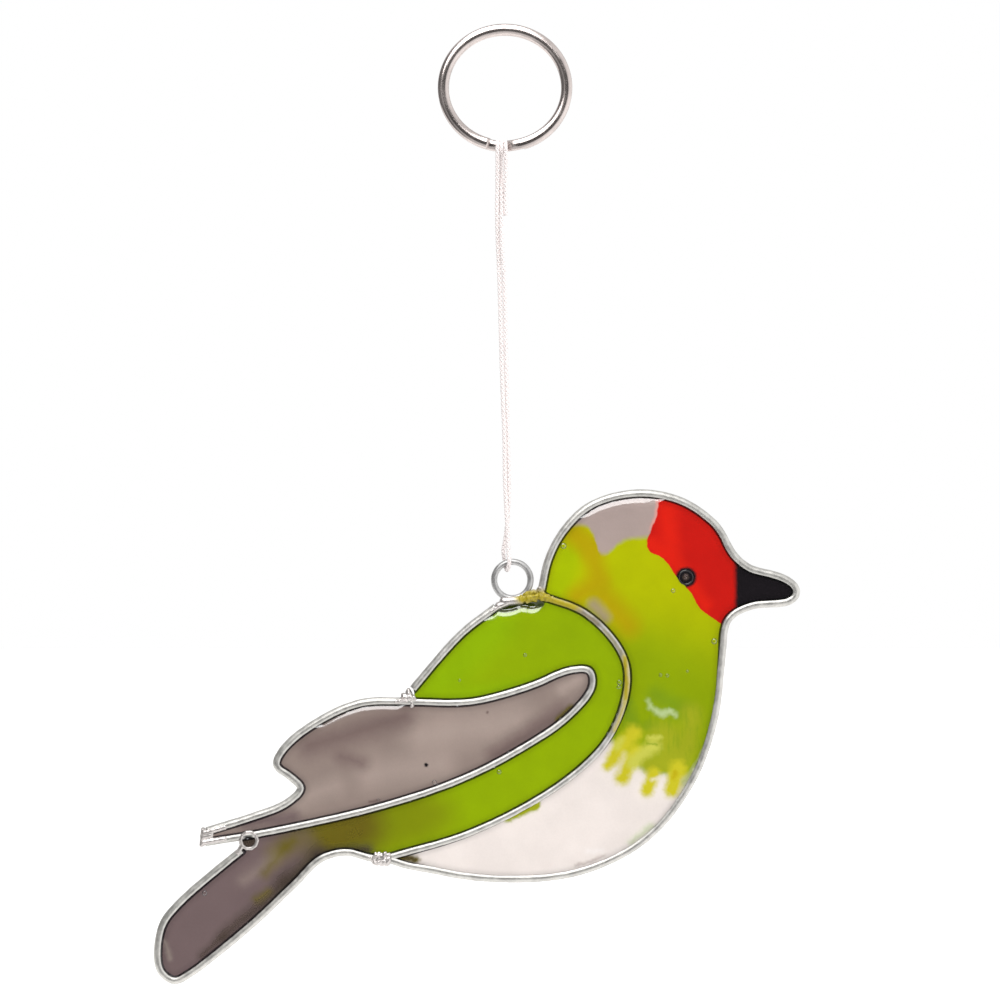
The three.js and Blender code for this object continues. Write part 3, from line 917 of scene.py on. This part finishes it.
class SUNCATCHER_OT_eye(bpy.types.Operator):
    """Make the seed bead of the eye"""

    bl_idname = "suncatcher.eye"
    bl_label = "Eye bead"

    def execute(self, context):
        whole = size_of("eye_bead")
        hole = 1.8 * MM
        wall = (whole.x - hole) / 4
        bm = bmesh.new()
        revolve(
            bm, wall, (whole.x + hole) / 4, flatten=whole.y / 2 / wall, sides=24, steps=64)
        bmesh.ops.translate(bm, vec=middle_of("eye_bead"), verts=bm.verts)
        material = bead_material(context.scene.suncatcher_colours)
        piece("seed_bead", bm, material, "eye_bead")
        return {"FINISHED"}


# ------------------------------------------------------------------ wires

WIRES = ("body_wire", "back_wire", "wing_wire", "feather_wire", "tail_wire")
WIRE_SIDES = 32
WIRE_STEP = 0.35 * MM
OUTLINE_STEP = 0.8 * MM
# Over how wide a band a wire's pale front turns to painted shade beside resin.
DARKENING = 0.12 * MM


def tinned(at):
    """How uneven a wire is after tinning: a share of its radius."""
    return 0.05 * noise.noise(at * 260) + 0.035 * noise.noise(at * 900 + Vector((7, 3, 1)))


def faint(at):
    """How faint the painted shade line beside a wire is on the body, which is pale lower down."""
    place = (at - BIRD) / MM
    return share((place.x * 0.55 - place.z * 0.83 - 31) / 6)


def resin_sides(line, panels):
    """For each point of a line, how strong the painted shade on the wire's flank is beside resin
    on its one side and on its other.
    """
    probe = 1.5 * MM
    backwards = Vector((0, 1, 0))
    sides = []
    for i, point in enumerate(line):
        ahead = line[min(i + 1, len(line) - 1)] - line[max(i - 1, 0)]
        across = ahead.cross(backwards).normalized()
        beside = []
        for way in (probe, -probe):
            at = point + across * way - backwards
            found = [
                name for name, panel in panels.items()
                if panel.ray_cast(at, backwards)[0] is not None
            ]
            on_body = found == ["body_panel"]
            beside.append(0 if not found else 1 - faint(point) if on_body else 1)
        sides.append(beside)
    return sides


# The beak's wire, blunter than in the solids: [x, z] in millimetres from the jump ring. It
# takes the place of the wire's points past BEAK_START.
BEAK_START = 44.5
BEAK = [
    (46.3, -4.65), (48.7, -4.45), (51.0, -4.3), (52.6, -3.9), (53.6, -3.1), (53.85, -2.2),
    (53.55, -1.25), (52.7, -0.45), (51.3, 0.3), (49.04, 1.05), (46.9, 1.55), (45.0, 2.2),
]
# Where three wires meet in the solder under the belly: [x, z] likewise. Wires that end
# near it are led up to it.
BELLY_JOINT = (-24.0, -52.8)
JOINT_REACH = 4.0


def wire_line(node, sizes, step):
    """The smooth middle line of a wire."""
    line = middle_line(node, sizes.wire)
    joint = on_bird(*BELLY_JOINT)
    for end, place in ((0, 0), (-1, len(line))):
        if (line[end] - joint).length < JOINT_REACH * MM:
            line.insert(place, joint.lerp(line[end], 0.25))
    beak = [i for i, point in enumerate(line) if point.x > BIRD.x + BEAK_START * MM]
    if beak:
        upwards = line[beak[0] - 1].z < line[beak[-1] + 1].z
        line[beak[0]:beak[-1] + 1] = [on_bird(*at) for at in BEAK[::1 if upwards else -1]]
    return smooth_line(line, step)


class SUNCATCHER_OT_wires(bpy.types.Operator):
    """Bend the tinned wires of the bird's outline"""

    bl_idname = "suncatcher.wires"
    bl_label = "Wires"

    def execute(self, context):
        sizes = context.scene.suncatcher_sizes
        panels = {}
        for node in PAINTS:
            bm = joined_copy(node)
            panels[node] = BVHTree.FromBMesh(bm)
            bm.free()
        for node in WIRES:
            line = wire_line(node, sizes, WIRE_STEP)
            bm = bmesh.new()
            beside = bm.verts.layers.float.new("beside_resin")
            painted_shade_sides = resin_sides(line, panels)
            for corner, step, turn in sweep(
                    bm, line, sizes.wire / 2, sizes.wire / 2, WIRE_SIDES, tinned):
                # The beside_resin share is painted shade on the wire's flank past its bare front,
                # where resin lies beside it.
                across = math.sin(turn) * sizes.wire / 2
                past = (abs(across) - sizes.seen_wire) / DARKENING + 0.5
                corner[beside] = painted_shade_sides[step][across < 0] * share(past)
            material = bpy.data.materials["tinned wire"]
            piece(node.replace("_wire", "_tinned_wire"), bm, material, node)
        return {"FINISHED"}


# ------------------------------------------------------------------ solder


def hook(middle, radius, width, parts=10):
    """Runs of solder round a circle."""
    places = [
        (middle[0] + radius * math.cos(turn), middle[1] + radius * math.sin(turn))
        for turn in [2 * math.pi * i / parts for i in range(parts + 1)]
    ]
    return [(start, end, width) for start, end in zip(places, places[1:])]


# Runs of solder at each joint: start and end [x, z] in millimetres from the jump ring, and
# how wide each run is.
JOINTS = {
    "shoulder_solder": [
        ((-4.0, -6.0), (-2.6, -5.0), 0.6), ((-2.6, -4.9), (-1.2, -4.4), 0.75),
        ((-1.5, -4.0), (1.4, -3.8), 0.95), ((1.6, -3.7), (4.0, -3.2), 0.75),
        ((2.4, -2.7), (4.2, -2.2), 0.5), ((3.6, -3.2), (5.8, -3.1), 0.8),
        ((5.3, -1.6), (5.9, -3.1), 0.6), ((5.9, -3.2), (7.6, -3.7), 0.66),
    ],
    "back_solder": [
        ((-22.2, -23.0), (-20.2, -22.9), 0.5), ((-20.4, -22.2), (-18.6, -22.6), 0.7),
        ((-19.8, -21.2), (-19.2, -22.3), 0.5), ((-19.1, -23.2), (-19.05, -23.9), 0.4),
    ],
    "tail_solder": [
        ((-52.0, -51.7), (-51.4, -50.6), 0.55),
        *hook((-50.0, -49.4), 1.6, 0.5),
    ],
    "belly_solder": [
        ((-27.3, -52.6), (-26.4, -52.8), 0.5), ((-26.0, -52.1), (-26.0, -53.7), 0.5),
        ((-25.4, -52.2), (-23.6, -52.2), 0.62), ((-25.4, -53.5), (-23.6, -53.5), 0.62),
        ((-25.4, -52.9), (-23.4, -52.9), 0.6),
    ],
    "feather_end_solder": [
        ((-58.75, -47.4), (-59.05, -50.3), 0.45), ((-58.5, -48.0), (-54.6, -46.9), 0.72),
        ((-58.6, -49.8), (-54.6, -49.1), 0.72), ((-58.6, -48.7), (-57.3, -48.4), 0.8),
    ],
}
# Where the solder flowed smooth: [x, z] in millimetres from the jump ring, and how far.
CALM = [((-1.8, -4.6), 3.4), ((-57.0, -48.6), 5.5), ((-50.0, -49.4), 3.0)]
LUMP_SPACING = 0.35 * MM
SOLDER_VOXEL = 0.11 * MM
SOLDER_DEPTH = 1.0 * MM


def unrest(at):
    """How wrinkled the solder is at a place, as a share."""
    calm = any((at - on_bird(*place)).length < reach * MM for place, reach in CALM)
    return 0.1 if calm else 1.0


def drop_lump(bm, at, width, dice):
    """One lump of solder. Where the solder isn't calm, it is uneven and turned at random."""
    wild = unrest(at)
    lump = width * (1 + wild * dice.uniform(-0.15, 0.15)) * MM
    depth = SOLDER_DEPTH * (1 - wild * dice.uniform(0, 0.12)) / lump
    turn = Matrix.Rotation(dice.uniform(0, math.pi), 3, "Y")
    at.y += wild * dice.uniform(-0.12, 0.12) * MM
    made = bmesh.ops.create_icosphere(bm, subdivisions=2, radius=lump)["verts"]
    bmesh.ops.scale(bm, vec=(1 + 0.3 * wild, depth, 1 - 0.2 * wild), verts=made)
    bmesh.ops.rotate(bm, cent=(0, 0, 0), matrix=turn, verts=made)
    bmesh.ops.translate(bm, vec=at, verts=made)


def melted(bm):
    """Melts the overlapping lumps of a bmesh into one skin."""
    lumps = put_in_scene("lumps", mesh_of(bm, "lumps"))
    remesh = lumps.modifiers.new("melt", "REMESH")
    remesh.mode = "VOXEL"
    remesh.voxel_size = SOLDER_VOXEL
    skin = bmesh.new()
    skin.from_object(lumps, bpy.context.evaluated_depsgraph_get())
    mesh = lumps.data
    bpy.data.objects.remove(lumps)
    bpy.data.meshes.remove(mesh)
    return skin


def wrinkle(skin):
    """Raises ridges on the solder where it isn't calm."""
    skin.normal_update()
    for corner in skin.verts:
        ridge = 0.5 - abs(noise.noise(corner.co * 1200))
        rough = ridge * 0.26 + noise.noise(corner.co * 2000) * 0.1
        corner.co += corner.normal * rough * unrest(corner.co) * MM
    bmesh.ops.smooth_vert(
        skin, verts=skin.verts, factor=0.5, use_axis_x=True, use_axis_y=True, use_axis_z=True)


class SUNCATCHER_OT_solder(bpy.types.Operator):
    """Run solder over the joints between the wires"""

    bl_idname = "suncatcher.solder"
    bl_label = "Solder"

    def execute(self, context):
        for seed, (node, runs) in enumerate(JOINTS.items()):
            dice = random.Random(seed)
            bm = bmesh.new()
            for start, end, width in runs:
                start, end = on_bird(*start), on_bird(*end)
                count = max(2, round((end - start).length / LUMP_SPACING))
                for i in range(count + 1):
                    drop_lump(bm, start.lerp(end, i / count), width, dice)
            skin = melted(bm)
            wrinkle(skin)
            material = bpy.data.materials["soft solder"]
            piece(node.replace("_solder", "_joint"), skin, material, node)
        return {"FINISHED"}


# ------------------------------------------------------------------ resin

# Bubbles just under the resin's surface: [x, z] in millimetres from the jump ring, radius.
BUBBLES = {
    "body_panel": [(9.7, 6.5, 0.55), (38.3, -11.6, 0.55), (28.1, -18.0, 0.32),
                   (29.4, -18.1, 0.32), (30.5, -2.0, 0.4), (33.2, -17.3, 0.25)],
    "wing_panel": [(20.3, -19.4, 0.45), (20.2, -20.3, 0.4), (2.4, -14.2, 0.35),
                   (-2.5, -36.4, 0.42), (-58.4, -59.4, 0.5), (-10.0, -19.0, 0.25)],
    "feather_panel": [(-14.8, -38.4, 0.45), (-25.5, -41.7, 0.25), (-44.0, -42.8, 0.3)],
}
BUBBLE_FLATNESS = 0.35
# A distance to the wires at which the shader paints no shade, in millimetres.
FAR_FROM_WIRES = 9.0
# Where resin piled up against a wire above it: [x, z] in millimetres from the jump ring. It
# is at its highest within BANK_REACH of such a line, and level again BANK_FADE further on.
BANKS = [
    [(15.6, 13.6), (20.8, 15.6), (25.6, 15.6)],
    [(-34.6, -26.6), (-29.2, -25.0), (-23.4, -24.1)],
    [(-2.6, -6.1), (0.4, -6.2), (3.0, -5.8)],
]
BANK_REACH = 1.4
BANK_FADE = 2.2
# How far from a wire's middle line resin meets it, as a share of the wire's diameter.
MEETING = 0.31
# The edge of the solder below the jump ring, which the wing's resin meets.
SOLDER_EDGE = [(-4.2, -5.2), (-3.2, -5.1), (-1.6, -5.3), (0.2, -5.0), (1.3, -4.5),
               (2.5, -4.5), (3.9, -4.7), (5.2, -4.3)]


def search_tree(lines, step):
    """A search tree of the points on some lines."""
    points = [point for line in lines for point in smooth_line(line, step)]
    tree = kdtree.KDTree(len(points))
    for i, point in enumerate(points):
        tree.insert(point, i)
    tree.balance()
    return tree


def slice_up(bm, spacing):
    """Cuts flat faces into a grid of small ones."""
    for axis in (Vector((1, 0, 0)), Vector((0, 0, 1))):
        places = [corner.co.dot(axis) for corner in bm.verts]
        at = min(places) + spacing / 2
        while at < max(places):
            bmesh.ops.bisect_plane(
                bm, geom=bm.verts[:] + bm.edges[:] + bm.faces[:], dist=0.001 * MM,
                plane_co=axis * at, plane_no=axis,
            )
            at += spacing
    bmesh.ops.remove_doubles(bm, verts=bm.verts, dist=spacing / 20)


def rounded(low, high, gone):
    """A height between two, rising steeply at first and then ever less."""
    return low + (high - low) * math.sqrt(1 - (1 - share(gone)) ** 2)


class Pool:
    """How the poured resin stands: its heights near the wires and away from them."""

    def __init__(self, lines, sizes, faint_line):
        self.sizes = sizes
        self.faint_line = faint_line
        self.wires = search_tree(lines, 0.1 * MM)
        self.banks = search_tree([[on_bird(*at) for at in bank] for bank in BANKS], 0.2 * MM)

    def away(self, at):
        return self.wires.find(level(at))[2]

    def from_wire(self, at):
        """How far a wire is for the shader's painted shade line, in millimetres. Where that
        painted shade is faint, the wire counts as further away."""
        return self.away(at) / MM + (0.4 * faint(at) if self.faint_line else 0)

    def inwards(self, at, rim):
        """How far a place lies in from the wires, as a share of a rim."""
        return (self.away(at) - self.sizes.wire * MEETING) / rim

    def front(self, at):
        """How far the resin's front lies before the wires' middle."""
        sizes = self.sizes
        past_bank = self.banks.find(level(at))[2] / MM - BANK_REACH
        bank = eased(share(1 - past_bank / BANK_FADE))
        low = sizes.resin_edge + (sizes.bank_edge - sizes.resin_edge) * bank
        high = sizes.resin_front + (sizes.bank_front - sizes.resin_front) * bank
        swell = 0.025 * MM * noise.noise(level(at) * 110)
        return rounded(low, high, self.inwards(at, sizes.resin_rim)) + swell

    def back(self, at):
        """How far the resin's back lies behind the wires' middle."""
        sizes = self.sizes
        gone = self.inwards(at, sizes.resin_rim / 2)
        return rounded(sizes.resin_edge * 0.7, sizes.resin_back, gone)


def pour(outline, pool, sizes):
    """Resin inside an outline of wires, finer where it meets them."""
    bm = bmesh.new()
    away = bm.verts.layers.float.new("from_wire")
    bm.verts.layers.float.new("bubble_rim")
    made = bmesh.ops.create_circle(bm, cap_ends=True, segments=len(outline), radius=1)
    for corner, point in zip(made["verts"], outline):
        corner.co = level(point)
    slice_up(bm, sizes.resin_mesh)
    rim = sizes.resin_rim + sizes.wire / 2
    near = {corner for corner in bm.verts if pool.away(corner.co) < rim}
    edges = [edge for edge in bm.edges if not near.isdisjoint(edge.verts)]
    bmesh.ops.subdivide_edges(bm, edges=edges, cuts=3, use_grid_fill=True)
    made = bmesh.ops.extrude_face_region(bm, geom=bm.faces[:])
    front = {g for g in made["geom"] if isinstance(g, bmesh.types.BMVert)}
    for corner in bm.verts:
        corner[away] = pool.from_wire(corner.co)
        corner.co.y = -pool.front(corner.co) if corner in front else pool.back(corner.co)
    bmesh.ops.recalc_face_normals(bm, faces=bm.faces)
    return bm


def blow_bubbles(bm, bubbles, pool):
    """Low blisters on the resin's front, each with a rim on which the shader paints a dark ring
    of shade.
    """
    away = bm.verts.layers.float["from_wire"]
    rim = bm.verts.layers.float["bubble_rim"]
    for x, z, radius in bubbles:
        at = on_bird(x, z)
        at.y = -pool.front(at)
        made = bmesh.ops.create_uvsphere(
            bm, u_segments=20, v_segments=12, radius=radius * MM)["verts"]
        for corner in made:
            corner[rim] = (level(corner.co).length / (radius * MM)) ** 3
            corner[away] = FAR_FROM_WIRES
        bmesh.ops.scale(bm, vec=(1, BUBBLE_FLATNESS, 1), verts=made)
        bmesh.ops.translate(bm, vec=at, verts=made)


def nearest_index(line, point):
    return min(range(len(line)), key=lambda i: (line[i] - point).length)


def from_low(line, axis):
    """A line, turned to start at its lower end along an axis."""
    return line if line[0][axis] <= line[-1][axis] else line[::-1]


class SUNCATCHER_OT_resin(bpy.types.Operator):
    """Pour the three panels of coloured resin"""

    bl_idname = "suncatcher.resin"
    bl_label = "Resin"

    def execute(self, context):
        sizes = context.scene.suncatcher_sizes
        colours = context.scene.suncatcher_colours
        lines = {node: wire_line(node, sizes, OUTLINE_STEP) for node in WIRES}
        back, tail = (from_low(lines[node], 0) for node in ("back_wire", "tail_wire"))
        body, wing, feather = (
            from_low(lines[node], 2)[::-1] for node in ("body_wire", "wing_wire", "feather_wire"))
        from_tail = nearest_index(feather[len(feather) // 2:], tail[0]) + len(feather) // 2
        to_back = nearest_index(feather, back[0])
        edge = [on_bird(*at) for at in SOLDER_EDGE]
        around_wing = back + wing + tail[::-1] + feather[from_tail:to_back:-1]
        panels = {
            "body_panel": (body + wing[::-1], [body, wing]),
            "wing_panel": (around_wing, [back, wing, tail, feather, edge]),
            "feather_panel": (feather, [feather]),
        }
        for node, (outline, wires) in panels.items():
            pool = Pool(wires, sizes, node == "body_panel")
            bm = pour(outline, pool, sizes)
            blow_bubbles(bm, BUBBLES[node], pool)
            material = resin_material(node, colours)
            piece(node.replace("_panel", "_poured_resin"), bm, material, node)
        return {"FINISHED"}


# ------------------------------------------------------------------ stage


def aim(thing, at, target):
    thing.location = at
    thing.rotation_euler = (Vector(target) - Vector(at)).to_track_quat("-Z", "Y").to_euler()


def softbox(name, at, target, width, height, power):
    data = bpy.data.lights.new(name, "AREA")
    data.shape = "RECTANGLE"
    data.size = width
    data.size_y = height
    data.energy = power
    aim(put_in_scene(name, data), at, target)


def studio_world():
    """A white studio, with darker walls that only reflections and soft light see."""
    world = bpy.data.worlds.new("studio")
    world.use_nodes = True
    shader = Shader(world.node_tree)
    way = shader.add("ShaderNodeTexCoord").outputs["Generated"]

    def towards(direction, *heights):
        return shader.rise(shader.vector("DOT_PRODUCT", way, direction), *heights)

    right = towards((0.95, -0.2, -0.2), 0.3, 0.85, 1.0, 1.7)
    walls = shader.math("MULTIPLY", towards((0, 0, 1), -1.0, 1.0, 0.86, 0.76), right)
    left = shader.math("MULTIPLY", towards((-0.95, -0.3, 0), 0.5, 0.85), 0.85)
    dark = shader.math("MAXIMUM", left, towards((0, -1, 0), 0.88, 0.95))
    seen = shader.math("MULTIPLY", walls, shader.rise(dark, 0.0, 1.0, 1.0, 0.05, "LINEAR"))
    light_path = shader.add("ShaderNodeLightPath").outputs
    direct = shader.math(
        "MAXIMUM", light_path["Is Camera Ray"], light_path["Is Transmission Ray"])
    shade = shader.mix(direct, shader.grey(seen), (1.0, 1.0, 1.0))
    shader.feed(world.node_tree.nodes["Background"], Color=shade)
    bpy.context.scene.world = world


VIEW_WIDTH = 0.19
VIEW_MIDDLE = Vector((-0.00095, 0, -0.0883))
FLOOR_DROP = 0.06


class SUNCATCHER_OT_stage(bpy.types.Operator):
    """Set up the camera, the lights and the floor"""

    bl_idname = "suncatcher.stage"
    bl_label = "Stage"

    def execute(self, context):
        scene = context.scene
        scene.view_settings.view_transform = "Standard"
        data = bpy.data.cameras.new("camera")
        data.lens = 100
        data.sensor_width = 36
        scene.camera = put_in_scene("camera", data)
        distance = VIEW_WIDTH * data.lens / data.sensor_width
        aim(scene.camera, VIEW_MIDDLE + Vector((0, -distance, 0)), VIEW_MIDDLE)

        bird = Vector((0, 0, -0.14))
        softbox("key", bird + Vector((-0.073, -0.377, 0.461)), bird, 0.37, 0.51, power=2.9)
        studio_world()

        bm = bmesh.new()
        bmesh.ops.create_grid(bm, x_segments=1, y_segments=1, size=1.2)
        bmesh.ops.translate(bm, vec=(0, 1.1, CAD_BOX[0].z - FLOOR_DROP), verts=bm.verts)
        mesh = mesh_of(bm, "floor")
        mesh.materials.append(floor_material(scene.suncatcher_colours))
        put_in_scene("floor", mesh)
        return {"FINISHED"}


class SUNCATCHER_OT_finishes(bpy.types.Operator):
    """Make the shared node groups and the metals that several pieces use"""

    bl_idname = "suncatcher.finishes"
    bl_label = "Finishes"

    def execute(self, context):
        colours = context.scene.suncatcher_colours
        make_place_group()
        make_stroke_group()
        make_resin_group()
        make_tarnish_group()
        metal_material(
            "tinned wire", colours.silver, colours, scale=700.0, smoothest=0.34, roughest=0.5,
            relief=0.02 * MM, spilled=SPILLED_AND_SHADE)
        metal_material(
            "aged silver", colours.aged_silver, colours, scale=900.0, smoothest=0.32,
            roughest=0.5, relief=0.02 * MM)
        metal_material(
            "soft solder", colours.tin, colours, scale=1200.0, smoothest=0.25, roughest=0.45,
            relief=0.04 * MM, spilled=SPILLED_AND_SHADE, cracked=1.0)
        return {"FINISHED"}


# ------------------------------------------------------------------ add-on

OPERATORS = (
    SUNCATCHER_OT_finishes,
    SUNCATCHER_OT_stage,
    SUNCATCHER_OT_cord,
    SUNCATCHER_OT_split_ring,
    SUNCATCHER_OT_jump_ring,
    SUNCATCHER_OT_wires,
    SUNCATCHER_OT_solder,
    SUNCATCHER_OT_resin,
    SUNCATCHER_OT_eye,
)


class SUNCATCHER_PT_panel(bpy.types.Panel):
    """Lists the sizes, the colours and the steps"""

    bl_idname = "SUNCATCHER_PT_panel"
    bl_label = "Suncatcher"
    bl_space_type = "VIEW_3D"
    bl_region_type = "UI"
    bl_category = "Suncatcher"

    def draw(self, context):
        for group in (context.scene.suncatcher_sizes, context.scene.suncatcher_colours):
            box = self.layout.box()
            for name in group.__annotations__:
                box.prop(group, name)
        for operator in OPERATORS:
            self.layout.operator(operator.bl_idname)


CLASSES = (SuncatcherSizes, SuncatcherColours, *OPERATORS, SUNCATCHER_PT_panel)


def register():
    for cls in CLASSES:
        bpy.utils.register_class(cls)
    bpy.types.Scene.suncatcher_sizes = bpy.props.PointerProperty(type=SuncatcherSizes)
    bpy.types.Scene.suncatcher_colours = bpy.props.PointerProperty(type=SuncatcherColours)


def unregister():
    del bpy.types.Scene.suncatcher_colours
    del bpy.types.Scene.suncatcher_sizes
    for cls in reversed(CLASSES):
        bpy.utils.unregister_class(cls)


def main():
    register()
    for operator in OPERATORS:
        getattr(bpy.ops.suncatcher, operator.bl_idname.split(".")[1])()


if __name__ == "__main__":
    main()
